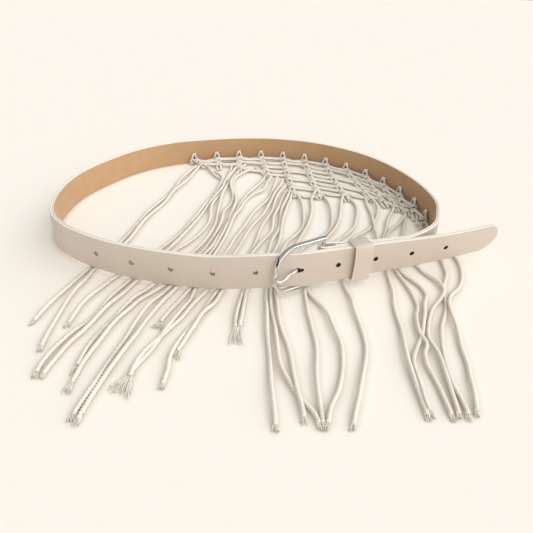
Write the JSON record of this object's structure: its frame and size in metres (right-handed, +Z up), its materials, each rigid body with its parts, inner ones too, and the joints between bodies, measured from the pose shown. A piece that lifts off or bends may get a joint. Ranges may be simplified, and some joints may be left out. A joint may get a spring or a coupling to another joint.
{
  "type": "leather belt with knotted cord net and fringe",
  "caption": "Narrow two-tone leather belt, buckled into a loop and standing on its edge, with a knotted cotton cord net on its inner face and long loose cords laid on the floor",
  "frame": {"origin": "centre of the footprint, on the floor that the belt stands on", "axes": "+X to the right of the buckled front as it is looked at, +Y from the buckled front to the back of the loop, +Z up across the width of the strap"},
  "size_m": [0.3442, 0.3496, 0.0377],
  "materials": {
    "outer_leather": "smooth, satin",
    "tan_lining": "matt",
    "polished_metal": "polished",
    "prong_metal": "polished",
    "keeper_leather": "smooth, satin",
    "cotton_cord": "matt"
  },
  "bodies": {
    "root": {"strap": "outer_leather", "lining": "tan_lining", "buckle_frame": "polished_metal", "prong": "prong_metal", "keeper": "keeper_leather", "fringe": "cotton_cord"}
  },
  "joints": []
}
